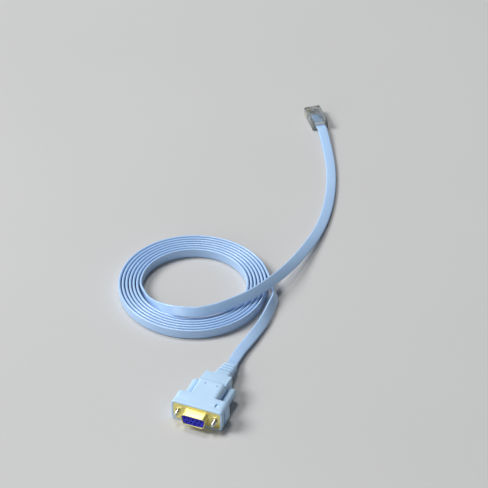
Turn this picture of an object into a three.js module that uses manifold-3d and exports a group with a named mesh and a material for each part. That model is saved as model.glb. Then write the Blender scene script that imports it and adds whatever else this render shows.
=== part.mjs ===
// A flat console cable, coiled, with a nine-way D-shaped socket on one end
// and an eight-way clear plug on the other.
// Millimetres, +Z up. The origin is under the middle of the hood's front collar, on the surface it lies on.
// +X runs along the socket's width, +Y from its front face back towards the cable.

import * as THREE from 'three';
import * as BufferGeometryUtils from 'three/addons/utils/BufferGeometryUtils.js';
import Module from 'manifold-3d';

const wasm = await Module();
wasm.setup();

// Driving dimensions: contacts and thumbscrews, which set the widths round them
const contactPitch = 2.77;
const contactRowSpacing = 2.84;
const contactTopCount = 5;
const contactBottomCount = 4;
const screwSpacing = 24.99;
const screwRadius = 1.42;

// Driving dimensions: socket front
const flangeEndMargin = 3.3;
const flangeWidth = screwSpacing + flangeEndMargin * 2;
const flangeHeight = 12.55;
const flangeThickness = 0.8;
const flangeCorner = 1.6;
const shellEndMargin = 2.625;
const shellWidth = contactPitch * (contactTopCount - 1) + shellEndMargin * 2;
const shellHeight = 7.9;
const shellReach = 5.9;
const shellWall = 0.45;
const shellSlope = 5;
const shellCorner = 2.4;
const insulatorInset = 0.25;
const insulatorBackReach = 6;
const contactMouthRadius = 0.65;
const contactMouthDepth = 1;
const contactRadius = 0.85;
const contactBoreRadius = 0.52;
const contactBoreDepth = 5;
const contactLength = 7;

// Driving dimensions: socket hood
const hoodHeight = 14.8;
const collarRim = 1.4;
const collarWidth = flangeWidth + collarRim * 2;
const collarDepth = 4;
const collarCorner = 2.2;
const earBulge = 0.5;
const earWidth = collarWidth + earBulge * 2;
const earDepth = 8;
const earCorner = 4;
const sideGrooveWidth = 1;
const sideGrooveDepth = 0.9;
const sideGrooveHeight = 13;
const gripRadius = 2.6;
const bodyGripGap = 0.395;
const bodyWidth = screwSpacing - (gripRadius + bodyGripGap) * 2;
const bodyDepth = 14.4;
const bodyCorner = 3.2;
const blockWidth = 18.4;
const blockDepth = 10.6;
const blockFrontHeight = 14;
const blockBackWidth = 18.2;
const blockBackHeight = 12.1;
const topMarkWidth = 2.8;
const topMarkLength = 3.4;
const topMarkDepth = 0.4;
const topMarkX = 11.5;
const topMarkY = 5.9;
const topDotRadius = 0.4;
const topDotXs = [-3.5, 4.5];
const topDotY = 22.7;

// Driving dimensions: strain relief
const reliefRootX = 0.5;
const reliefRootHeight = 6.3;
const reliefTipX = 1;
const reliefTipHeight = 4.4;
const reliefNeckLength = 7.2;
const reliefCount = 3;
const reliefPitch = 3.05;
const reliefRibLength = 2.2;
const reliefFrontWidth = 11.2;
const reliefBackWidth = 9;
const reliefFrontHeight = 8.2;
const reliefBackHeight = 5.2;
const reliefRibDepth = 0.8;
const reliefSink = 0.08;

// Driving dimensions: thumbscrews
const screwReach = 4.8;
const gripLength = 18;
const gripWebRadius = 2.1;
const gripWebLength = 1.2;
const screwGripDepth = 9;

// Driving dimensions: flat cable
const cableWidth = 7;
const cableThickness = 2;
const cableCorner = 0.8;

// Driving dimensions: coil
const coilCentre = new THREE.Vector2(-52.3, 117.2);
const coilOuterRadius = 51.2;
const turnCount = 7;
const turnPitch = 2.25;
const turnGrooveDepth = 0.5;
const turnGrooveWidth = 0.6;

// Driving dimensions: plug
const plugX = -38;
const plugY = 319.5;
const plugTurn = 38;
const plugWidth = 11.68;
const plugHeight = 6.6;
const plugLength = 21.46;
const plugNoseHeight = 5.9;
const plugNoseLength = 8.4;
const plugCableRoom = 0.3;
const plugPocketDepth = 12.5;
const plugCableHeight = 3.1;
const bladeCount = 8;
const bladePitch = 1.02;
const bladeThickness = 0.35;
const bladeLength = 4.6;
const bladeHeight = 2.5;
const bladeInset = 0.5;
const latchRootWidth = 6.2;
const latchTailWidth = 3.25;
const latchThickness = 1;
const latchLength = 14;
const latchRise = 3.4;
const latchShoulderLength = 5.2;
const latchShoulderDepth = 2.6;
const latchShoulderLift = 0.5;
const latchShoulderSink = 0.8;
const latchRootInset = 1.2;
const latchRootLength = 2.2;
const latchRootSink = 0.6;
const latchSlit = 0.35;

// Clearances
const touchGap = 0.3;
const fitGap = 0.1;

// Facets round a full circle
const roundSides = 32;
const smallSides = 16;

// Materials
const hoodPlastic = new THREE.MeshStandardMaterial({ color: 0xa9c4ea, roughness: 0.5, metalness: 0 });
const cablePlastic = new THREE.MeshStandardMaterial({ color: 0x9dbbe6, roughness: 0.4, metalness: 0 });
const goldPlate = new THREE.MeshStandardMaterial({ color: 0xe0b93a, roughness: 0.25, metalness: 1 });
const insulatorPlastic = new THREE.MeshStandardMaterial({ color: 0x1420b4, roughness: 0.45, metalness: 0 });
const steel = new THREE.MeshStandardMaterial({ color: 0xc8ccd0, roughness: 0.3, metalness: 1 });
const clearPlastic = new THREE.MeshStandardMaterial({
  color: 0xe8eef2,
  roughness: 0.1,
  metalness: 0,
  transparent: true,
  opacity: 0.4,
});

// Solids from geometries, and back

function toSolid(geometry) {
  const plain = geometry.clone();
  plain.deleteAttribute('normal');
  plain.deleteAttribute('uv');
  const merged = BufferGeometryUtils.mergeVertices(plain, 1e-5);
  return new wasm.Manifold(new wasm.Mesh({
    numProp: 3,
    vertProperties: new Float32Array(merged.attributes.position.array),
    triVerts: new Uint32Array(merged.index.array),
  }));
}

function toGeometry(solid) {
  const mesh = solid.getMesh();
  const geometry = new THREE.BufferGeometry();
  geometry.setAttribute('position', new THREE.BufferAttribute(new Float32Array(mesh.vertProperties), 3));
  geometry.setIndex(new THREE.BufferAttribute(new Uint32Array(mesh.triVerts), 1));
  geometry.computeVertexNormals();
  return geometry;
}

function joined(geometries) {
  return geometries.map(toSolid).reduce((all, next) => all.add(next));
}

function cut(solid, geometries) {
  return geometries.map(toSolid).reduce((left, tool) => left.subtract(tool), solid);
}

// Shapes lying in a plane across Y: x to the side, y up

function roundedRectangle(width, height, radius, centreX = 0, centreY = 0) {
  const r = Math.min(radius, width / 2 - 0.01, height / 2 - 0.01);
  const left = centreX - width / 2;
  const right = centreX + width / 2;
  const low = centreY - height / 2;
  const high = centreY + height / 2;
  const shape = new THREE.Shape();
  shape.moveTo(left + r, low);
  shape.lineTo(right - r, low);
  shape.absarc(right - r, low + r, r, -Math.PI / 2, 0, false);
  shape.lineTo(right, high - r);
  shape.absarc(right - r, high - r, r, 0, Math.PI / 2, false);
  shape.lineTo(left + r, high);
  shape.absarc(left + r, high - r, r, Math.PI / 2, Math.PI, false);
  shape.lineTo(left, low + r);
  shape.absarc(left + r, low + r, r, Math.PI, Math.PI * 1.5, false);
  return shape;
}

// The D outline is wide at the top, and its sides lean inwards going down
function dOutline(width, height, radius, centreY) {
  const lean = Math.tan(THREE.MathUtils.degToRad(shellSlope)) * height;
  const half = width / 2;
  const low = centreY - height / 2;
  const high = centreY + height / 2;
  const corners = [
    new THREE.Vector2(-half + lean, low),
    new THREE.Vector2(half - lean, low),
    new THREE.Vector2(half, high),
    new THREE.Vector2(-half, high),
  ];
  return roundedPolygon(corners, radius);
}

function roundedPolygon(corners, radius) {
  const shape = new THREE.Shape();
  corners.forEach((corner, i) => {
    const before = corners[(i + corners.length - 1) % corners.length];
    const after = corners[(i + 1) % corners.length];
    const toBefore = before.clone().sub(corner).normalize();
    const toAfter = after.clone().sub(corner).normalize();
    const reach = radius / Math.tan(Math.acos(toBefore.dot(toAfter)) / 2);
    const start = corner.clone().addScaledVector(toBefore, reach);
    const end = corner.clone().addScaledVector(toAfter, reach);
    if (i === 0) {
      shape.moveTo(start.x, start.y);
    } else {
      shape.lineTo(start.x, start.y);
    }
    shape.quadraticCurveTo(corner.x, corner.y, end.x, end.y);
  });
  shape.closePath();
  return shape;
}

// Extrudes a shape from y = start to y = start + depth, with the shape's y standing up
function alongY(shape, start, depth, curveSegments = 6) {
  const geometry = new THREE.ExtrudeGeometry(shape, { depth, bevelEnabled: false, curveSegments });
  geometry.rotateX(Math.PI / 2);
  geometry.translate(0, start + depth, 0);
  return geometry;
}

function cylinderAlongY(radius, start, length, x, z, sides = roundSides) {
  const geometry = new THREE.CylinderGeometry(radius, radius, length, sides);
  geometry.translate(x, start + length / 2, z);
  return geometry;
}

// A block whose back face is smaller than its front face
function taperedBlock(frontWidth, frontHeight, backWidth, backHeight, start, depth, frontZ, backZ) {
  const geometry = new THREE.BoxGeometry(1, 1, 1);
  const position = geometry.attributes.position;
  for (let i = 0; i < position.count; i += 1) {
    const back = position.getY(i) > 0;
    const width = back ? backWidth : frontWidth;
    const height = back ? backHeight : frontHeight;
    const middle = back ? backZ : frontZ;
    position.setXYZ(
      i,
      position.getX(i) * width,
      start + (back ? depth : 0),
      middle + position.getZ(i) * height,
    );
  }
  return geometry;
}

// Places along the socket
const middleZ = hoodHeight / 2;
const earStart = collarDepth;
const earEnd = earStart + earDepth;
const bodyEnd = earEnd + bodyDepth;
const blockEnd = bodyEnd + blockDepth;
const blockOverlap = 0.5;
const screwX = screwSpacing / 2;
const screwHoleRadius = screwRadius + touchGap;

// The strain relief bends a little towards +X and sinks, as the cable pulls it
const reliefLength = reliefNeckLength + reliefCount * reliefPitch;
const reliefRoot = new THREE.Vector3(reliefRootX, blockEnd, reliefRootHeight);
const reliefTip = new THREE.Vector3(reliefTipX, blockEnd + reliefLength, reliefTipHeight);
const reliefDirection = reliefTip.clone().sub(reliefRoot).normalize();

function reliefPoint(share) {
  return reliefRoot.clone().lerp(reliefTip, share);
}

function reliefBlock(from, to, shrink) {
  const a = reliefPoint(from);
  const b = reliefPoint(to);
  const width = THREE.MathUtils.lerp(reliefFrontWidth, reliefBackWidth, (from + to) / 2) - shrink * 2;
  const height = THREE.MathUtils.lerp(reliefFrontHeight, reliefBackHeight, (from + to) / 2) - shrink * 2;
  const length = b.distanceTo(a);
  const geometry = alongY(roundedRectangle(width, height, height / 3), -length / 2, length, 3);
  const turn = new THREE.Quaternion().setFromUnitVectors(new THREE.Vector3(0, 1, 0), reliefDirection);
  geometry.applyQuaternion(turn);
  geometry.translate((a.x + b.x) / 2, (a.y + b.y) / 2, (a.z + b.z) / 2);
  return geometry;
}

function reliefGeometries() {
  const neck = reliefBlock(-reliefSink, reliefNeckLength / reliefLength, 0);
  const core = reliefBlock(0, 1, reliefRibDepth);
  const ribs = Array.from({ length: reliefCount }, (_, i) => {
    const end = reliefNeckLength + reliefPitch * (i + 1);
    return reliefBlock((end - reliefRibLength) / reliefLength, end / reliefLength, 0);
  });
  return [neck, core, ...ribs];
}

function makeHood() {
  const collar = alongY(roundedRectangle(collarWidth, hoodHeight, collarCorner, 0, middleZ), 0, collarDepth);
  const ears = alongY(roundedRectangle(earWidth, hoodHeight, earCorner, 0, middleZ), earStart, earDepth);
  const body = alongY(
    roundedRectangle(bodyWidth, hoodHeight, bodyCorner, 0, middleZ),
    collarDepth / 2,
    bodyEnd - collarDepth / 2,
    5,
  );
  const block = taperedBlock(
    blockWidth,
    blockFrontHeight,
    blockBackWidth,
    blockBackHeight,
    bodyEnd - blockOverlap,
    blockDepth + blockOverlap,
    blockFrontHeight / 2,
    blockBackHeight / 2,
  );
  const solid = joined([collar, ears, body, block, ...reliefGeometries()]);
  const flangePocket = alongY(
    roundedRectangle(flangeWidth + fitGap * 2, flangeHeight + fitGap * 2, flangeCorner, 0, middleZ),
    -1,
    1 + flangeThickness + fitGap,
  );
  const insulatorPocket = alongY(
    dOutline(shellWidth, shellHeight, shellCorner, middleZ),
    0,
    insulatorBackReach + fitGap,
  );
  const screwHoles = [-screwX, screwX].map((x) => (
    cylinderAlongY(screwHoleRadius, -1, earEnd + 2, x, middleZ)
  ));
  const topMark = new THREE.BoxGeometry(topMarkWidth, topMarkLength, topMarkDepth * 2);
  topMark.translate(topMarkX, topMarkY, hoodHeight);
  const topDots = topDotXs.map((x) => {
    const dot = new THREE.CylinderGeometry(topDotRadius, topDotRadius, topMarkDepth * 2, smallSides);
    dot.rotateX(Math.PI / 2);
    dot.translate(x, topDotY, hoodHeight);
    return dot;
  });
  const sideGrooves = [-1, 1].map((side) => {
    const groove = new THREE.BoxGeometry(collarWidth, sideGrooveWidth, sideGrooveHeight * 2);
    groove.translate(side * (collarWidth - sideGrooveDepth), earStart, 0);
    return groove;
  });
  return toGeometry(cut(solid, [
    flangePocket,
    insulatorPocket,
    ...screwHoles,
    topMark,
    ...topDots,
    ...sideGrooves,
  ]));
}

// Socket front

function makeShell() {
  const flange = alongY(
    roundedRectangle(flangeWidth, flangeHeight, flangeCorner, 0, middleZ),
    0,
    flangeThickness,
  );
  const outer = alongY(
    dOutline(shellWidth, shellHeight, shellCorner, middleZ),
    -shellReach,
    shellReach + flangeThickness / 4,
  );
  const inner = alongY(
    dOutline(shellWidth - shellWall * 2, shellHeight - shellWall * 2, shellCorner - shellWall, middleZ),
    -shellReach - 1,
    shellReach + flangeThickness + 2,
  );
  const holes = [-screwX, screwX].map((x) => (
    cylinderAlongY(screwHoleRadius, -1, flangeThickness + 2, x, middleZ)
  ));
  return toGeometry(cut(joined([flange, outer]), [inner, ...holes]));
}

const contactRows = [
  { count: contactTopCount, z: middleZ + contactRowSpacing / 2 },
  { count: contactBottomCount, z: middleZ - contactRowSpacing / 2 },
];
const contactPlaces = contactRows.flatMap((row) => (
  Array.from({ length: row.count }, (_, i) => (
    new THREE.Vector2((i - (row.count - 1) / 2) * contactPitch, row.z)
  ))
));
const insulatorFront = -shellReach + insulatorInset;
const contactFront = insulatorFront + contactMouthDepth + fitGap;

function makeInsulator() {
  const inset = (shellWall + fitGap) * 2;
  const block = alongY(
    dOutline(shellWidth - inset, shellHeight - inset, shellCorner - shellWall - fitGap, middleZ),
    insulatorFront,
    insulatorBackReach - insulatorFront,
  );
  const holes = contactPlaces.flatMap((place) => [
    cylinderAlongY(
      contactMouthRadius,
      insulatorFront - 1,
      contactMouthDepth + 2,
      place.x,
      place.y,
      smallSides,
    ),
    cylinderAlongY(
      contactRadius + fitGap,
      insulatorFront + contactMouthDepth,
      contactLength + fitGap * 2,
      place.x,
      place.y,
      smallSides,
    ),
  ]);
  return toGeometry(cut(toSolid(block), holes));
}

function makeContact() {
  const profile = [
    new THREE.Vector2(0, contactLength),
    new THREE.Vector2(0, contactBoreDepth),
    new THREE.Vector2(contactBoreRadius, contactBoreDepth),
    new THREE.Vector2(contactBoreRadius, 0),
    new THREE.Vector2(contactRadius, 0),
    new THREE.Vector2(contactRadius, contactLength),
    new THREE.Vector2(0, contactLength),
  ];
  return new THREE.LatheGeometry(profile, smallSides);
}

// Thumbscrews. The grip is moulded round the screw's back end

const gripStart = earEnd + touchGap;

function makeGrip() {
  const grip = cylinderAlongY(gripRadius, gripWebLength, gripLength - gripWebLength, 0, 0);
  const web = cylinderAlongY(gripWebRadius, 0, gripWebLength + 0.5, 0, 0);
  const bore = cylinderAlongY(screwRadius + fitGap, -1, screwGripDepth + 1 + fitGap, 0, 0);
  return toGeometry(cut(joined([grip, web]), [bore]));
}

function makeScrew() {
  const length = screwReach + gripStart + screwGripDepth;
  return cylinderAlongY(screwRadius, -screwReach, length, 0, 0);
}

// Flat cable. Each route point has its place and its lean: 0 lies flat, 90 stands on edge

const coilInnerRadius = coilOuterRadius - turnPitch * (turnCount - 1) - cableThickness;

function besideCoil(radius, degrees, lean) {
  const angle = THREE.MathUtils.degToRad(degrees);
  return {
    x: coilCentre.x + radius * Math.cos(angle),
    y: coilCentre.y + radius * Math.sin(angle),
    z: cableWidth / 2,
    lean,
  };
}

// From the strain relief to the outside of the coil
const outsideCoil = coilOuterRadius + touchGap + cableThickness / 2;
const socketRoute = [
  { x: 0.4, y: 59, z: 3.0, lean: 5 },
  { x: 0.7, y: 70, z: 2.8, lean: 12 },
  { x: 2.5, y: 84, z: 2.9, lean: 20 },
  { x: 3.9, y: 101, z: 3.2, lean: 32 },
  { x: 3.2, y: 117, z: 3.6, lean: 46 },
  { x: 0.6, y: 130.5, z: 3.6, lean: 63 },
  besideCoil(outsideCoil, 23, 88),
];

// From the inside of the coil, over its turns and on to the plug
const insideCoil = coilInnerRadius - touchGap - cableThickness / 2;
const plugRoute = [
  besideCoil(insideCoil, 204, 90),
  { x: -79.2, y: 96.2, z: 3.7, lean: 88 },
  { x: -74.1, y: 91.3, z: 4.3, lean: 84 },
  { x: -66.9, y: 87.3, z: 5.4, lean: 79 },
  { x: -58.0, y: 84.8, z: 7.6, lean: 71 },
  { x: -48.9, y: 84.7, z: 10.0, lean: 62 },
  { x: -36.8, y: 87.7, z: 11.2, lean: 55 },
  { x: -27.0, y: 94.2, z: 11.1, lean: 53 },
  { x: -18.2, y: 104.0, z: 11.1, lean: 51 },
  { x: -10.2, y: 116.2, z: 11.1, lean: 48 },
  { x: -3.8, y: 131.3, z: 10.9, lean: 43 },
  { x: 0.2, y: 147.9, z: 9.0, lean: 36 },
  { x: 2.4, y: 165.5, z: 6.6, lean: 30 },
  { x: 3.6, y: 183.9, z: 4.6, lean: 25 },
  { x: 3.8, y: 202.6, z: 3.1, lean: 19 },
  { x: 2.1, y: 221.5, z: 2.2, lean: 14 },
  { x: -1.6, y: 240.2, z: 1.8, lean: 10 },
  { x: -6.9, y: 258.3, z: 1.6, lean: 6 },
  { x: -13.5, y: 275.6, z: 1.5, lean: 3 },
  { x: -21.4, y: 292.0, z: 1.6, lean: 1 },
];

function cableSection() {
  return roundedRectangle(cableWidth, cableThickness, cableCorner);
}

// Sweeps the flat section along the points. A straight extrusion is laid onto the route, station by station
function sweepCable(points, steps) {
  const places = points.map((p) => new THREE.Vector3(p.x, p.y, p.z));
  const curve = new THREE.CatmullRomCurve3(places, false, 'centripetal');
  const leanPoints = points.map((p) => new THREE.Vector3(p.lean, 0, 0));
  const leans = new THREE.CatmullRomCurve3(leanPoints, false, 'catmullrom', 0.5);
  const geometry = new THREE.ExtrudeGeometry(cableSection(), {
    depth: 1,
    steps,
    bevelEnabled: false,
    curveSegments: 1,
  });
  const position = geometry.attributes.position;
  const up = new THREE.Vector3(0, 0, 1);
  for (let i = 0; i < position.count; i += 1) {
    const share = position.getZ(i);
    const centre = curve.getPoint(share);
    const tangent = curve.getTangent(share);
    const left = up.clone().cross(tangent).normalize();
    const rise = tangent.clone().cross(left).normalize();
    const lean = THREE.MathUtils.degToRad(leans.getPoint(share).x);
    const side = left.clone().multiplyScalar(Math.cos(lean)).addScaledVector(rise, Math.sin(lean));
    const normal = tangent.clone().cross(side);
    centre.addScaledVector(side, position.getX(i)).addScaledVector(normal, position.getY(i));
    position.setXYZ(i, centre.x, centre.y, centre.z);
  }
  geometry.computeVertexNormals();
  return geometry;
}

// Coil: one turned ring whose grooves show the turns on both ends

function makeCoil() {
  const inner = coilInnerRadius;
  const profile = [new THREE.Vector2(inner, 0)];
  const turnEdges = Array.from({ length: turnCount - 1 }, (_, i) => (
    inner + cableThickness + turnPitch * i + (turnPitch - cableThickness) / 2
  ));
  turnEdges.forEach((r) => {
    profile.push(new THREE.Vector2(r - turnGrooveWidth / 2, 0));
    profile.push(new THREE.Vector2(r, turnGrooveDepth));
    profile.push(new THREE.Vector2(r + turnGrooveWidth / 2, 0));
  });
  profile.push(new THREE.Vector2(coilOuterRadius, 0), new THREE.Vector2(coilOuterRadius, cableWidth));
  turnEdges.slice().reverse().forEach((r) => {
    profile.push(new THREE.Vector2(r + turnGrooveWidth / 2, cableWidth));
    profile.push(new THREE.Vector2(r, cableWidth - turnGrooveDepth));
    profile.push(new THREE.Vector2(r - turnGrooveWidth / 2, cableWidth));
  });
  profile.push(new THREE.Vector2(inner, cableWidth), new THREE.Vector2(inner, 0));
  const geometry = new THREE.LatheGeometry(profile, 72);
  geometry.rotateX(Math.PI / 2);
  return geometry;
}

// Plug. Its own frame has the back face at y = 0, the nose at +Y and the latch on top

function makePlugBody() {
  const side = new THREE.Shape();
  side.moveTo(0, 0);
  side.lineTo(plugLength, 0);
  side.lineTo(plugLength, plugNoseHeight);
  side.lineTo(plugLength - plugNoseLength, plugHeight);
  side.lineTo(0, plugHeight);
  side.closePath();
  const block = acrossX(side, plugWidth);
  const latchRoot = plugLength - latchRootInset;
  const latch = new THREE.Shape();
  latch.moveTo(latchRoot, plugNoseHeight - latchRootSink);
  latch.lineTo(latchRoot, plugNoseHeight + latchThickness);
  latch.lineTo(latchRoot - latchLength, plugHeight + latchRise + latchThickness);
  latch.lineTo(latchRoot - latchLength, plugHeight + latchRise);
  latch.lineTo(latchRoot - latchRootLength, plugNoseHeight + latchSlit);
  latch.lineTo(latchRoot - latchRootLength, plugNoseHeight - latchRootSink);
  latch.closePath();
  const tongue = acrossX(latch, latchTailWidth);
  const shoulder = new THREE.Shape();
  const slope = (plugHeight + latchRise - plugNoseHeight) / latchLength;
  const start = latchRoot - latchShoulderLength;
  const low = plugNoseHeight + latchShoulderLift + slope * latchShoulderLength * latchShoulderSink;
  shoulder.moveTo(start, low);
  shoulder.lineTo(start + latchShoulderDepth, low - slope * latchShoulderDepth);
  shoulder.lineTo(start + latchShoulderDepth, low - slope * latchShoulderDepth + latchThickness);
  shoulder.lineTo(start, low + latchThickness);
  shoulder.closePath();
  const catchBar = acrossX(shoulder, latchRootWidth);
  const pocket = new THREE.BoxGeometry(
    cableWidth + plugCableRoom * 2,
    plugPocketDepth + 1,
    cableThickness + plugCableRoom * 2,
  );
  pocket.translate(0, (plugPocketDepth - 1) / 2, plugCableHeight);
  const slotLength = bladeLength + bladeInset + fitGap;
  const slots = bladeXs().map((x) => {
    const slot = new THREE.BoxGeometry(bladeThickness + fitGap * 2, slotLength + 1, bladeHeight + 1);
    slot.translate(x, plugLength - (slotLength - 1) / 2, (bladeHeight - 1) / 2);
    return slot;
  });
  return toGeometry(cut(joined([block, tongue, catchBar]), [pocket, ...slots]));
}

// Extrudes a side view, drawn as y along the plug and z up, across the plug's width
function acrossX(shape, width) {
  const geometry = new THREE.ExtrudeGeometry(shape, { depth: width, bevelEnabled: false, curveSegments: 4 });
  geometry.rotateX(Math.PI / 2);
  geometry.rotateZ(Math.PI / 2);
  geometry.translate(-width / 2, 0, 0);
  return geometry;
}

function bladeXs() {
  return Array.from({ length: bladeCount }, (_, i) => (i - (bladeCount - 1) / 2) * bladePitch);
}

function makeBlade() {
  const blade = new THREE.BoxGeometry(bladeThickness, bladeLength, bladeHeight - fitGap - bladeInset);
  blade.translate(0, 0, bladeInset + (bladeHeight - fitGap - bladeInset) / 2);
  return blade;
}

// Assembly

const cable = new THREE.Group();
const socket = new THREE.Group();
socket.position.y = -collarDepth / 2;
cable.add(socket);
const plug = new THREE.Group();
plug.position.set(plugX, plugY, 0);
plug.rotation.z = THREE.MathUtils.degToRad(plugTurn);
cable.add(plug);

function addPiece(name, geometry, material, parent) {
  const mesh = new THREE.Mesh(geometry, material);
  mesh.name = name;
  parent.add(mesh);
  return mesh;
}

addPiece('hood', makeHood(), hoodPlastic, socket);
addPiece('front_shell', makeShell(), goldPlate, socket);
addPiece('insulator', makeInsulator(), insulatorPlastic, socket);
contactPlaces.forEach((place, i) => {
  const contact = addPiece(`socket_contact_${i + 1}`, makeContact(), goldPlate, socket);
  contact.position.set(place.x, contactFront, place.y);
});
[['left', -screwX], ['right', screwX]].forEach(([side, x]) => {
  addPiece(`thumbscrew_grip_${side}`, makeGrip(), hoodPlastic, socket).position.set(x, gripStart, middleZ);
  addPiece(`thumbscrew_screw_${side}`, makeScrew(), steel, socket).position.set(x, 0, middleZ);
});

// A point on the strain relief's line, this far behind its end
function reliefExit(distance) {
  const point = reliefTip.clone().addScaledVector(reliefDirection, distance).add(socket.position);
  return { x: point.x, y: point.y, z: point.z, lean: 0 };
}

// A point on the plug's cable line, this far in front of its back face
function plugEntry(distance) {
  const x = plug.position.x - Math.sin(plug.rotation.z) * distance;
  const y = plug.position.y + Math.cos(plug.rotation.z) * distance;
  return { x, y, z: plugCableHeight, lean: 0 };
}

const socketStretch = [reliefExit(touchGap), reliefExit(3), ...socketRoute];
const plugStretch = [...plugRoute, plugEntry(-6), plugEntry(0), plugEntry(plugPocketDepth - touchGap)];
addPiece('cable_socket_stretch', sweepCable(socketStretch, 14), cablePlastic, cable);
addPiece('cable_plug_stretch', sweepCable(plugStretch, 48), cablePlastic, cable);
addPiece('cable_coil', makeCoil(), cablePlastic, cable).position.set(coilCentre.x, coilCentre.y, 0);
addPiece('plug_body', makePlugBody(), clearPlastic, plug);
bladeXs().forEach((x, i) => {
  const blade = addPiece(`plug_blade_${i + 1}`, makeBlade(), goldPlate, plug);
  blade.position.set(x, plugLength - bladeInset - bladeLength / 2, 0);
});

export default cable;
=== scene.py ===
# A coiled flat console cable with a D-shaped socket on one end and a clear plug on the other.
# Lengths are written in millimetres and made into metres by MM.

import math

import bmesh
import bpy
from mathutils import Matrix, Vector


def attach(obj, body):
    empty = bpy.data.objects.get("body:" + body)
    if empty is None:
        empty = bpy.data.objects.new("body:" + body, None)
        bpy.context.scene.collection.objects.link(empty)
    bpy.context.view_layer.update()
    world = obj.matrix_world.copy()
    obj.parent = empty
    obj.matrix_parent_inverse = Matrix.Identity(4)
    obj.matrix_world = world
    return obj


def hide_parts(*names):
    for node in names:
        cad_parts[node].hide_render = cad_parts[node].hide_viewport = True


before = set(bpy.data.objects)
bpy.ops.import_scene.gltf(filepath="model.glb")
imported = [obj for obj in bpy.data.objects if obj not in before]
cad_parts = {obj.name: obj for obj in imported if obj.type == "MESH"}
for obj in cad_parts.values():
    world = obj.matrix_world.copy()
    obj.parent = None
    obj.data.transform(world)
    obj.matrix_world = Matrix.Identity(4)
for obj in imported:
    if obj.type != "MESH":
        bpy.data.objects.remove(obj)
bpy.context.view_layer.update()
MM = 0.001

# Camera at the photograph's angle
camera_data = bpy.data.cameras.new("camera")
camera_data.lens = 169.67
camera_data.sensor_width = 36
camera = bpy.data.objects.new("camera", camera_data)
camera.location = (0.42060, -0.96089, 0.99946)
camera.rotation_euler = (math.radians(90 - 39.19), 0, math.radians(22.06))
bpy.context.scene.collection.objects.link(camera)
bpy.context.scene.camera = camera


# Materials

def new_material(name):
    material = bpy.data.materials.new(name)
    material.use_nodes = True
    return material, material.node_tree.nodes, material.node_tree.links


def noise(nodes, links, scale, detail):
    place = nodes.new("ShaderNodeTexCoord")
    texture = nodes.new("ShaderNodeTexNoise")
    texture.inputs["Scale"].default_value = scale
    texture.inputs["Detail"].default_value = detail
    links.new(place.outputs["Object"], texture.inputs["Vector"])
    return texture


def ramp(nodes, links, source, low, high, start=0.3, end=0.7):
    node = nodes.new("ShaderNodeValToRGB")
    node.color_ramp.elements[0].position = start
    node.color_ramp.elements[1].position = end
    node.color_ramp.elements[0].color = (*low, 1)
    node.color_ramp.elements[1].color = (*high, 1)
    links.new(source, node.inputs["Fac"])
    return node.outputs["Color"]


def spread(nodes, links, source, low, high):
    node = nodes.new("ShaderNodeMapRange")
    node.inputs["To Min"].default_value = low
    node.inputs["To Max"].default_value = high
    links.new(source, node.inputs["Value"])
    return node.outputs["Result"]


def bump(nodes, links, shader, source, strength, distance):
    node = nodes.new("ShaderNodeBump")
    node.inputs["Strength"].default_value = strength
    node.inputs["Distance"].default_value = distance * MM
    links.new(source, node.inputs["Height"])
    links.new(node.outputs["Normal"], shader.inputs["Normal"])


# Moulded plastic: a slow drift in tone, a fine grain and a slightly uneven gloss
def plastic(name, low, high, rough, grain, metal=0.0, coat=0.0):
    material, nodes, links = new_material(name)
    shader = nodes["Principled BSDF"]
    drift = noise(nodes, links, 60, 3)
    fine = noise(nodes, links, 1800, 4)
    links.new(ramp(nodes, links, drift.outputs["Fac"], low, high), shader.inputs["Base Color"])
    links.new(spread(nodes, links, fine.outputs["Fac"], rough[0], rough[1]), shader.inputs["Roughness"])
    shader.inputs["Metallic"].default_value = metal
    shader.inputs["Coat Weight"].default_value = coat
    shader.inputs["Coat Roughness"].default_value = 0.24
    bump(nodes, links, shader, fine.outputs["Fac"], grain, 0.05)
    return material


hood_plastic = plastic("hood_plastic", (0.49, 0.70, 0.93), (0.53, 0.74, 0.96), (0.36, 0.52), 0.35)
cable_plastic = plastic("cable_plastic", (0.42, 0.62, 0.92), (0.45, 0.66, 0.95), (0.28, 0.40), 0.18, coat=0.7)
insulator_plastic = plastic(
    "insulator_plastic", (0.006, 0.006, 0.46), (0.010, 0.012, 0.56), (0.42, 0.54), 0.2,
)
gold = plastic("gold_plate", (0.90, 0.80, 0.28), (0.96, 0.87, 0.36), (0.36, 0.50), 0.12, metal=1.0)
steel = plastic("steel", (0.62, 0.63, 0.64), (0.72, 0.73, 0.74), (0.18, 0.30), 0.15, metal=1.0)
clear_plastic, clear_nodes, clear_links = new_material("clear_plastic")
clear_shader = clear_nodes["Principled BSDF"]
clear_shader.inputs["Base Color"].default_value = (0.86, 0.91, 0.94, 1)
clear_shader.inputs["Transmission Weight"].default_value = 0.92
clear_shader.inputs["IOR"].default_value = 1.5
clear_fine = noise(clear_nodes, clear_links, 900, 3)
clear_gloss = spread(clear_nodes, clear_links, clear_fine.outputs["Fac"], 0.04, 0.12)
clear_links.new(clear_gloss, clear_shader.inputs["Roughness"])


# Mesh helpers. Outlines lie across Y as (x, z) points; a loft joins equal outlines into one closed skin

def rounded_outline(width, height, radius, x=0.0, z=0.0, steps=6):
    points = []
    radius = min(radius, width / 2 - 0.01, height / 2 - 0.01)
    corners = (
        (width / 2 - radius, -height / 2 + radius, -90),
        (width / 2 - radius, height / 2 - radius, 0),
        (-width / 2 + radius, height / 2 - radius, 90),
        (-width / 2 + radius, -height / 2 + radius, 180),
    )
    for corner_x, corner_z, turn in corners:
        for step in range(steps + 1):
            angle = math.radians(turn + 90 * step / steps)
            points.append((x + corner_x + radius * math.cos(angle), z + corner_z + radius * math.sin(angle)))
    return points


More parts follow.
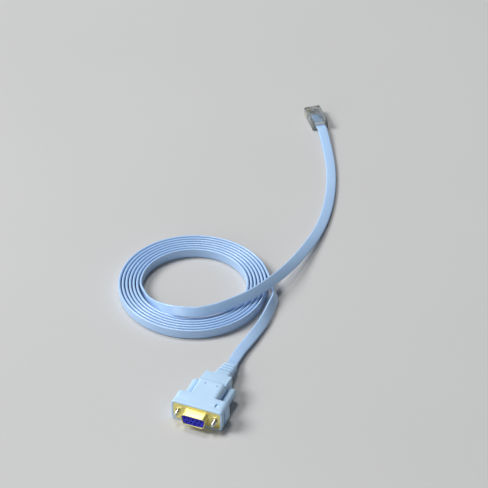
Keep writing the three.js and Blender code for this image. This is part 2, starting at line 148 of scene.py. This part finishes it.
# The D outline is wide at the top; outset moves it outwards all round
def d_outline(outset=0.0, steps=6):
    lean = math.tan(math.radians(SHELL_SLOPE)) * SHELL_HEIGHT
    half_low = SHELL_WIDTH / 2 - lean - SHELL_CORNER
    half_high = SHELL_WIDTH / 2 - SHELL_CORNER
    low = MIDDLE - SHELL_HEIGHT / 2 + SHELL_CORNER
    high = MIDDLE + SHELL_HEIGHT / 2 - SHELL_CORNER
    radius = SHELL_CORNER + outset
    corners = (
        (half_low, low, -90, -SHELL_SLOPE),
        (half_high, high, -SHELL_SLOPE, 90),
        (-half_high, high, 90, 180 + SHELL_SLOPE),
        (-half_low, low, 180 + SHELL_SLOPE, 270),
    )
    points = []
    for x, z, start, end in corners:
        for step in range(steps + 1):
            angle = math.radians(start + (end - start) * step / steps)
            points.append((x + radius * math.cos(angle), z + radius * math.sin(angle)))
    return points


def add_object(name, bm, material, smooth_angle=35):
    bmesh.ops.recalc_face_normals(bm, faces=bm.faces)
    mesh = bpy.data.meshes.new(name)
    bm.to_mesh(mesh)
    bm.free()
    obj = bpy.data.objects.new(name, mesh)
    bpy.context.scene.collection.objects.link(obj)
    if material:
        mesh.materials.append(material)
    mesh.shade_smooth()
    mesh.set_sharp_from_angle(angle=math.radians(smooth_angle))
    return obj


# Rings of equal length, joined in order, closed by end caps or back onto the first ring
def skin(bm, rings, closed=False):
    made = [[bm.verts.new(Vector(point) * MM) for point in ring] for ring in rings]
    pairs = list(zip(made, made[1:]))
    if closed:
        pairs.append((made[-1], made[0]))
    for first, second in pairs:
        for i in range(len(first)):
            j = (i + 1) % len(first)
            bm.faces.new((first[i], first[j], second[j], second[i]))
    if not closed:
        bm.faces.new(list(reversed(made[0])))
        bm.faces.new(made[-1])


def circle(radius, x, z, sides):
    turns = [2 * math.pi * i / sides for i in range(sides)]
    return [(x + radius * math.cos(a), z + radius * math.sin(a)) for a in turns]


def loft(sections):
    bm = bmesh.new()
    skin(bm, [[(x, y, z) for x, z in outline] for y, outline in sections])
    return bm


# A block along Y between two rounded sections, each (y, width, height, radius, x, z), with rounded end edges
def block(front, back, edge=0.3, steps=3, turn=None):
    sections = []
    for (y, width, height, radius, x, z), way in ((front, 1), (back, -1)):
        part = []
        for step in range(steps + 1):
            angle = math.pi / 2 * step / steps
            inset = edge * (1 - math.sin(angle))
            outline = rounded_outline(width - inset * 2, height - inset * 2, max(radius - inset, 0.05), x, z)
            part.append((y + way * edge * (1 - math.cos(angle)), outline))
        sections += part if way > 0 else list(reversed(part))
    bm = loft(sections)
    if turn:
        bmesh.ops.transform(bm, matrix=turn, verts=bm.verts)
    return bm


# A block whose two ends are alike
def bar(start, end, width, height, radius, x, z, edge=0.3, steps=3):
    return block((start, width, height, radius, x, z), (end, width, height, radius, x, z), edge, steps)


def rod(radius, start, end, x, z, sides=32, edge=0.0):
    radii = [(start, radius), (end, radius)]
    if edge:
        radii = [(start, radius - edge), (start + edge, radius), (end - edge, radius), (end, radius - edge)]
    return loft([(y, circle(r, x, z, sides)) for y, r in radii])


# Joins or cuts closed bodies into one mesh
def combined(name, base, added=(), removed=(), material=None, smooth_angle=35):
    obj = add_object(name, base, material, smooth_angle)
    for bodies, operation in ((added, "UNION"), (removed, "DIFFERENCE")):
        for body in bodies:
            tool = add_object("tool", body, None)
            modifier = obj.modifiers.new("combine", "BOOLEAN")
            modifier.operation = operation
            modifier.solver = "EXACT"
            modifier.object = tool
            result = bpy.data.meshes.new_from_object(obj.evaluated_get(bpy.context.evaluated_depsgraph_get()))
            obj.modifiers.clear()
            old = obj.data
            obj.data = result
            bpy.data.meshes.remove(old)
            bpy.data.objects.remove(tool)
    obj.data.name = name
    obj.data.materials.clear()
    obj.data.materials.append(material)
    obj.data.shade_smooth()
    obj.data.set_sharp_from_angle(angle=math.radians(smooth_angle))
    return obj


def finished(obj, body, slot, *nodes):
    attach(obj, body)
    if nodes:
        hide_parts(*nodes)
    return obj


# Dimensions, most of them shared with the CAD source. The cable is drawn a little thinner, so that the gaps
# between its turns show
FRONT = -2.0
HOOD_HEIGHT = 14.8
MIDDLE = HOOD_HEIGHT / 2
FLANGE_WIDTH = 31.59
FLANGE_HEIGHT = 12.55
FLANGE_THICKNESS = 0.8
FLANGE_CORNER = 1.6
COLLAR_WIDTH = 34.39
COLLAR_END = 2.0
EAR_WIDTH = 35.39
EAR_END = 10.0
EAR_CORNER = 4.0
BODY_WIDTH = 19.0
BODY_CORNER = 3.2
BODY_END = 24.4
BLOCK_WIDTHS = (18.4, 18.2)
BLOCK_HEIGHTS = (13.9, 12.1)
BLOCK_CORNER = 0.6
BLOCK_END = 35.0
TOP_MARK_X = 11.5
TOP_MARK_FRONT = 2.2
TOP_MARK_BACK = 5.6
TOP_MARK_WIDTH = 2.8
TOP_MARK_DEPTH = 0.8
TOP_DOT_XS = (-3.5, 4.5)
TOP_DOT_Y = 20.7
TOP_DOT_RADIUS = 0.5
TOP_DOT_DEPTH = 1.5
SIDE_GROOVE_X = 18.1
SCREW_X = 12.495
SCREW_HOLE_RADIUS = 1.72
SCREW_REACH = 4.8
FIT_GAP = 0.1
SHELL_WIDTH = 16.33
SHELL_HEIGHT = 7.9
SHELL_REACH = 5.9
SHELL_WALL = 0.45
SHELL_SLOPE = 5
SHELL_CORNER = 2.4
CONTACT_PITCH = 2.77
CONTACT_ROWS = ((5, MIDDLE + 1.42), (4, MIDDLE - 1.42))
CABLE_WIDTH = 7.0
CABLE_THICKNESS = 1.64
CABLE_EDGE = 0.8
COIL_X = -52.3
COIL_Y = 117.2
COIL_RADIUS = 50.2
COIL_BULGE = 1.1
COIL_START = 40
COIL_END = 203 + 360 * 6
TURN_PITCH = 2.4
RELIEF_ROOT = Vector((0.5, BLOCK_END, 6.3))
RELIEF_TIP = Vector((1.0, 51.35, 4.4))
RELIEF_NECK = 7.2
RELIEF_LINE = (RELIEF_TIP - RELIEF_ROOT).normalized()
PLUG_PLACE = Vector((-38, 319.5, 0))
PLUG_TURN = math.radians(38)
PLUG_LINE = Vector((-math.sin(PLUG_TURN), math.cos(PLUG_TURN), 0))
PLUG_CABLE_HEIGHT = 3.1

# The cable's route: x, y, z and lean. A lean of 0 lies flat and 90 stands on edge
SOCKET_ROUTE = [
    (0.4, 59, 3.0, 5),
    (0.7, 70, 2.8, 12),
    (2.5, 84, 2.9, 20),
    (3.9, 101, 3.2, 32),
    (3.2, 117, 3.6, 46),
    (0.6, 130.5, 3.6, 63),
]
PLUG_ROUTE = [
    (-79.2, 96.2, 3.7, 88),
    (-74.1, 91.3, 4.3, 84),
    (-66.9, 86.9, 6.0, 75),
    (-58.0, 83.5, 8.5, 65),
    (-48.9, 82.8, 10.2, 57),
    (-36.8, 86.0, 10.8, 54),
    (-27.0, 93.6, 10.9, 53),
    (-18.2, 104.0, 11.1, 51),
    (-10.2, 116.2, 11.1, 48),
    (-3.8, 131.3, 10.9, 43),
    (0.2, 147.9, 9.0, 36),
    (2.4, 165.5, 6.6, 30),
    (3.6, 183.9, 4.6, 25),
    (3.8, 202.6, 3.1, 19),
    (2.1, 221.5, 2.2, 14),
    (-1.6, 240.2, 1.8, 10),
    (-6.9, 258.3, 1.6, 6),
    (-13.5, 275.6, 1.5, 3),
    (-21.4, 292.0, 1.6, 1),
]


def along(point, line, distance):
    place = point + line * distance
    return (place.x, place.y, place.z, 0)


# The turns wind inwards, seen from above against the clock, from the socket's side to the plug's
def coil_route(count=156):
    points = []
    for i in range(count):
        degrees = COIL_START + (COIL_END - COIL_START) * i / (count - 1)
        angle = math.radians(degrees)
        bulge = COIL_BULGE * max(0.0, -math.cos(angle)) ** 2
        radius = COIL_RADIUS + bulge - TURN_PITCH * (degrees - COIL_START) / 360
        x = COIL_X + radius * math.cos(angle)
        y = COIL_Y + radius * math.sin(angle)
        points.append((x, y, CABLE_WIDTH / 2, 90))
    return points


# A smooth curve from b to c, at share t of the way, with a and d as the values before and after
def between(a, b, c, d, t):
    slope = c - a
    bend = 2 * a - 5 * b + 4 * c - d
    twist = 3 * b - a - 3 * c + d
    return 0.5 * (2 * b + slope * t + bend * t ** 2 + twist * t ** 3)


def smooth_route(points, spacing=1.6):
    padded = [points[0], *points, points[-1]]
    stations = []
    for p0, p1, p2, p3 in zip(padded, padded[1:], padded[2:], padded[3:]):
        length = math.dist(p1[:3], p2[:3])
        steps = max(1, round(length / spacing))
        for step in range(steps):
            t = step / steps
            stations.append([between(a, b, c, d, t) for a, b, c, d in zip(p0, p1, p2, p3)])
    stations.append(list(points[-1]))
    return stations


def cable_rings(stations, outline):
    rings = []
    for i, (x, y, z, lean) in enumerate(stations):
        before = Vector(stations[max(i - 1, 0)][:3])
        after = Vector(stations[min(i + 1, len(stations) - 1)][:3])
        tangent = (after - before).normalized()
        left = Vector((0, 0, 1)).cross(tangent).normalized()
        rise = tangent.cross(left)
        side = left * math.cos(math.radians(lean)) + rise * math.sin(math.radians(lean))
        normal = tangent.cross(side)
        centre = Vector((x, y, z))
        rings.append([centre + side * across + normal * up for across, up in outline])
    return rings


# Cable: one flat cord from the strain relief, round the coil, over it and into the plug
route = [
    along(RELIEF_TIP, RELIEF_LINE, -1.0),
    along(RELIEF_TIP, RELIEF_LINE, 3.0),
    *SOCKET_ROUTE,
    *coil_route(),
    *PLUG_ROUTE,
    along(PLUG_PLACE + Vector((0, 0, PLUG_CABLE_HEIGHT)), PLUG_LINE, -6),
    along(PLUG_PLACE + Vector((0, 0, PLUG_CABLE_HEIGHT)), PLUG_LINE, 0),
    along(PLUG_PLACE + Vector((0, 0, PLUG_CABLE_HEIGHT)), PLUG_LINE, 12.2),
]
stations = smooth_route(route)
cable_bm = bmesh.new()
skin(cable_bm, cable_rings(stations, rounded_outline(CABLE_WIDTH, CABLE_THICKNESS, CABLE_EDGE, steps=5)))
cable = finished(
    add_object("flat_cable", cable_bm, cable_plastic, 60),
    "cable_set", "cable_plastic", "cable_socket_stretch", "cable_coil", "cable_plug_stretch",
)

# Hood: collar, ears, body, sloping block and ribbed strain relief in one moulding
RELIEF_LENGTH = (RELIEF_TIP - RELIEF_ROOT).length
RELIEF_PITCH = 3.05
RELIEF_RIB_LENGTH = 2.2
RELIEF_RIB_DEPTH = 2.0
RELIEF_WIDTHS = (12.0, 9.6)
RELIEF_HEIGHTS = (8.2, 5.2)
RELIEF_CORNER = 2.4
relief_tilt = Vector((0, 1, 0)).rotation_difference(RELIEF_LINE)
relief_turn = Matrix.Translation(RELIEF_ROOT * MM) @ relief_tilt.to_matrix().to_4x4()


def relief_section(y, shrink):
    width, height = (
        first + (last - first) * y / RELIEF_LENGTH - shrink * 2
        for first, last in (RELIEF_WIDTHS, RELIEF_HEIGHTS)
    )
    return (y, width, height, RELIEF_CORNER, 0, 0)


def relief_block(start, end, shrink, edge):
    return block(relief_section(start, shrink), relief_section(end, shrink), edge, turn=relief_turn)


relief_bodies = [
    relief_block(-1.2, RELIEF_NECK, 0, 0.35),
    relief_block(-1, RELIEF_LENGTH, RELIEF_RIB_DEPTH, 0.2),
]
for i in (1, 2, 3):
    rib_end = RELIEF_NECK + RELIEF_PITCH * i
    relief_bodies.append(relief_block(rib_end - RELIEF_RIB_LENGTH, rib_end, 0, 0.35))
block_front, block_back = (
    (y, width, height, BLOCK_CORNER, 0, height / 2)
    for y, width, height in zip((BODY_END - 1, BLOCK_END), BLOCK_WIDTHS, BLOCK_HEIGHTS)
)
hood_bodies = [
    bar(COLLAR_END - 0.5, EAR_END, EAR_WIDTH, HOOD_HEIGHT, EAR_CORNER, 0, MIDDLE, 0.8, 4),
    bar(0, BODY_END, BODY_WIDTH, HOOD_HEIGHT, BODY_CORNER, 0, MIDDLE, 0.9, 4),
    block(block_front, block_back, 0.4, 3),
    *relief_bodies,
]
pocket_end = FRONT + FLANGE_THICKNESS + FIT_GAP
pocket_width = FLANGE_WIDTH + FIT_GAP * 2
pocket_height = FLANGE_HEIGHT + FIT_GAP * 2
top_mark = bar(
    TOP_MARK_FRONT, TOP_MARK_BACK, TOP_MARK_WIDTH, TOP_MARK_DEPTH * 2, 0.3, TOP_MARK_X, HOOD_HEIGHT, 0.1, 1,
)


def top_dot(x):
    start = TOP_DOT_Y - TOP_DOT_RADIUS
    end = TOP_DOT_Y + TOP_DOT_RADIUS
    return bar(start, end, TOP_DOT_RADIUS * 2, TOP_DOT_DEPTH * 2, TOP_DOT_RADIUS, x, HOOD_HEIGHT, 0.3, 2)


def side_groove(x):
    return bar(COLLAR_END - 0.5, COLLAR_END + 0.5, 3.6, 26, 0.4, x, 0, 0.1, 1)


hood_cuts = [
    bar(FRONT - 2, pocket_end, pocket_width, pocket_height, FLANGE_CORNER + FIT_GAP, 0, MIDDLE, 0.05, 1),
    loft([(y, d_outline()) for y in (FRONT - 1, FRONT + 6.1)]),
    *[rod(SCREW_HOLE_RADIUS, FRONT - 1, EAR_END + 1, x, MIDDLE) for x in (-SCREW_X, SCREW_X)],
    top_mark,
    *[top_dot(x) for x in TOP_DOT_XS],
    *[side_groove(x) for x in (-SIDE_GROOVE_X, SIDE_GROOVE_X)],
    bar(BODY_END - 0.1, BODY_END + 0.7, 20, 2, 0.3, 0, 14.3, 0.1, 1),
]
collar = bar(FRONT, COLLAR_END, COLLAR_WIDTH, HOOD_HEIGHT, 2.2, 0, MIDDLE, 0.45, 4)
hood = finished(
    combined("socket_hood", collar, hood_bodies, hood_cuts, hood_plastic, 40),
    "cable_set", "hood_plastic", "hood",
)

# Plated front: the flange with its D-shaped collar
collar_profile = [(1.2, 0.0), (0.5, -0.12), (0.12, -0.5), (0.0, -1.0), (0.0, -5.7), (-0.1, -5.85)]
collar_profile += [(-0.225, -5.9), (-0.35, -5.85), (-SHELL_WALL, -5.7), (-SHELL_WALL, 0.8), (1.2, 0.8)]
shell_bm = bmesh.new()
shell_rings = [[(x, FRONT + y, z) for x, z in d_outline(outset)] for outset, y in collar_profile]
skin(shell_bm, shell_rings, closed=True)
flange_back = FRONT + FLANGE_THICKNESS
flange = bar(FRONT, flange_back, FLANGE_WIDTH, FLANGE_HEIGHT, FLANGE_CORNER, 0, MIDDLE, 0.15, 2)
shell_cuts = [loft([(y, d_outline(0.3)) for y in (FRONT - 1, FRONT + 2)])]
shell_cuts += [rod(SCREW_HOLE_RADIUS, FRONT - 1, FRONT + 2, x, MIDDLE) for x in (-SCREW_X, SCREW_X)]
flange_plate = combined("flange", flange, (), shell_cuts, gold)
shell_base = bmesh.new()
shell_base.from_mesh(flange_plate.data)
bpy.data.objects.remove(flange_plate)
shell = finished(
    combined("plated_front", shell_base, [shell_bm], (), gold, 40),
    "cable_set", "gold_plate", "front_shell",
)

# Blue insulator with its contact holes
insulator_front = FRONT - SHELL_REACH + 0.25
insulator_bm = loft([
    (insulator_front, d_outline(-SHELL_WALL - 0.25)),
    (insulator_front + 0.15, d_outline(-SHELL_WALL - 0.1)),
    (FRONT + 6, d_outline(-SHELL_WALL - 0.1)),
])
hole_profile = [(-0.5, 0.95), (0.0, 0.85), (0.25, 0.66), (1.05, 0.66), (1.05, 0.95), (8.3, 0.95)]
hole_bodies = []
for count, z in CONTACT_ROWS:
    for i in range(count):
        x = (i - (count - 1) / 2) * CONTACT_PITCH
        hole_bodies.append(loft([(insulator_front + y, circle(r, x, z, 24)) for y, r in hole_profile]))
insulator = finished(
    combined("blue_insulator", insulator_bm, (), hole_bodies, insulator_plastic, 40),
    "cable_set", "insulator_plastic", "insulator",
)


# Thumbscrews: a fluted grip with a rounded end, and a threaded steel screw

GRIP_PROFILE = [(0.3, 1.9), (1.3, 1.9), (1.5, 2.3), (1.9, 2.52), (2.4, 2.58), (16.2, 2.58)]
GRIP_PROFILE += [(17.2, 2.4), (17.9, 1.9), (18.2, 1.2), (18.3, 0.3)]
GRIP_FLUTES = 24
GRIP_FLUTE_DEPTH = 0.16
THREAD_PITCH = 0.635
THREAD_LENGTH = 6.4
THREAD_RADIUS = 1.42
THREAD_DEPTH = 0.16
SHANK_RADIUS = 1.3


def grip_mesh(x):
    sides = GRIP_FLUTES * 4
    rings = []
    for y, radius in GRIP_PROFILE:
        depth = GRIP_FLUTE_DEPTH if 2.2 < y < 17 else 0.0
        ring = []
        for i in range(sides):
            angle = 2 * math.pi * i / sides
            r = radius - depth * (0.5 + 0.5 * math.cos(GRIP_FLUTES * angle))
            ring.append((x + r * math.cos(angle), EAR_END + y, MIDDLE + r * math.sin(angle)))
        rings.append(ring)
    bm = bmesh.new()
    skin(bm, rings)
    return bm


def screw_mesh(x):
    sides = 32
    tip = FRONT - SCREW_REACH
    rings = []
    steps = round(THREAD_LENGTH / THREAD_PITCH * 8)
    for step in range(steps + 1):
        y = tip + THREAD_LENGTH * step / steps
        taper = min(1.0, 0.62 + (y - tip) / 0.9 * 0.38)
        ring = []
        for i in range(sides):
            share = (y / THREAD_PITCH - i / sides) % 1
            crest = THREAD_RADIUS - THREAD_DEPTH * abs(share * 2 - 1)
            angle = 2 * math.pi * i / sides
            ring.append((x + crest * taper * math.cos(angle), y, MIDDLE + crest * taper * math.sin(angle)))
        rings.append(ring)
    for y in (tip + THREAD_LENGTH + 0.1, EAR_END + 9.3):
        rings.append([(px, y, pz) for px, pz in circle(SHANK_RADIUS, x, MIDDLE, sides)])
    bm = bmesh.new()
    skin(bm, rings)
    return bm


for side, x in (("left", -SCREW_X), ("right", SCREW_X)):
    body = f"thumbscrew_{side}"
    grip = add_object(f"{side}_grip", grip_mesh(x), hood_plastic, 50)
    finished(grip, body, "hood_plastic", f"thumbscrew_grip_{side}")
    screw = add_object(f"{side}_screw", screw_mesh(x), steel, 30)
    finished(screw, body, "steel", f"thumbscrew_screw_{side}")

# Clear plug with its latch. It is drawn along +Y from its back face, then turned into place
PLUG_LENGTH = 21.46
PLUG_WIDTH = 11.68
PLUG_HEIGHT = 6.6
PLUG_NOSE_HEIGHT = 5.9
CABLE_POCKET_DEPTH = 12.5
CABLE_POCKET_WIDTH = 7.4
CABLE_POCKET_HEIGHT = 2.6
BLADE_PITCH = 1.02
BLADE_SLOT_LENGTH = 5.2
BLADE_SLOT_WIDTH = 0.55
BLADE_SLOT_HEIGHT = 3.6
plug_matrix = Matrix.Translation(PLUG_PLACE * MM) @ Matrix.Rotation(PLUG_TURN, 4, "Z")
plug_back = (0, PLUG_WIDTH, PLUG_HEIGHT, 0.5, 0, PLUG_HEIGHT / 2)
plug_nose = (PLUG_LENGTH, PLUG_WIDTH, PLUG_NOSE_HEIGHT, 0.4, 0, PLUG_NOSE_HEIGHT / 2)
plug_body = block(plug_back, plug_nose, 0.3, 2)
latch = loft([
    (PLUG_LENGTH - 15.2, rounded_outline(3.25, 1.0, 0.3, 0, 10.3)),
    (PLUG_LENGTH - 9.2, rounded_outline(3.25, 1.0, 0.3, 0, 8.7)),
    (PLUG_LENGTH - 8.8, rounded_outline(6.0, 1.0, 0.3, 0, 8.55)),
    (PLUG_LENGTH - 6.0, rounded_outline(6.2, 1.0, 0.3, 0, 7.8)),
    (PLUG_LENGTH - 5.4, rounded_outline(4.2, 0.95, 0.3, 0, 7.5)),
    (PLUG_LENGTH - 1.2, rounded_outline(4.2, 1.4, 0.3, 0, 6.0)),
])
plug_cuts = [
    bar(-1, CABLE_POCKET_DEPTH, CABLE_POCKET_WIDTH, CABLE_POCKET_HEIGHT, 0.4, 0, PLUG_CABLE_HEIGHT, 0.1, 1),
]
slot_start = PLUG_LENGTH - BLADE_SLOT_LENGTH
slot_end = PLUG_LENGTH + 1
for i in range(8):
    x = (i - 3.5) * BLADE_PITCH
    plug_cuts.append(bar(slot_start, slot_end, BLADE_SLOT_WIDTH, BLADE_SLOT_HEIGHT, 0.05, x, 0.7, 0.02, 1))
plug = combined("clear_plug", plug_body, [latch], plug_cuts, clear_plastic, 40)
plug.data.transform(plug_matrix)
finished(plug, "cable_set", "clear_plastic", "plug_body")

for name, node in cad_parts.items():
    if name.startswith(("socket_contact", "plug_blade")):
        for material_slot in node.material_slots:
            material_slot.material = gold

# Floor and light
floor_material, floor_nodes, floor_links = new_material("floor_paint")
floor_noise = noise(floor_nodes, floor_links, 4, 2)
floor_tone = ramp(
    floor_nodes, floor_links, floor_noise.outputs["Fac"], (0.55, 0.55, 0.55), (0.57, 0.57, 0.57),
)
floor_links.new(floor_tone, floor_nodes["Principled BSDF"].inputs["Base Color"])
floor_nodes["Principled BSDF"].inputs["Roughness"].default_value = 0.7
floor_bm = bmesh.new()
bmesh.ops.create_grid(floor_bm, x_segments=1, y_segments=1, size=4)
floor = add_object("floor", floor_bm, floor_material)
floor.location.z = -0.0002


def area_light(name, place, target, size, power, colour=(1, 1, 1)):
    data = bpy.data.lights.new(name, "AREA")
    data.shape = "DISK"
    data.size = size
    data.energy = power
    data.color = colour
    light = bpy.data.objects.new(name, data)
    light.location = place
    light.rotation_euler = (Vector(target) - Vector(place)).to_track_quat("-Z", "Y").to_euler()
    bpy.context.scene.collection.objects.link(light)


area_light("key", (-3.6, -0.9, 3.6), (0, 0.15, 0), 2.5, 232)
area_light("top", (-1.0, 0.9, 3.5), (0, 0.15, 0), 1.0, 42)
area_light("fill", (-1.0, -2.9, 1.2), (0, 0.15, 0), 1.8, 18)
world = bpy.data.worlds.new("studio")
world.use_nodes = True
world.node_tree.nodes["Background"].inputs["Color"].default_value = (0.92, 0.96, 1.0, 1)
world.node_tree.nodes["Background"].inputs["Strength"].default_value = 0.13
bpy.context.scene.world = world
bpy.context.scene.view_settings.view_transform = "Standard"
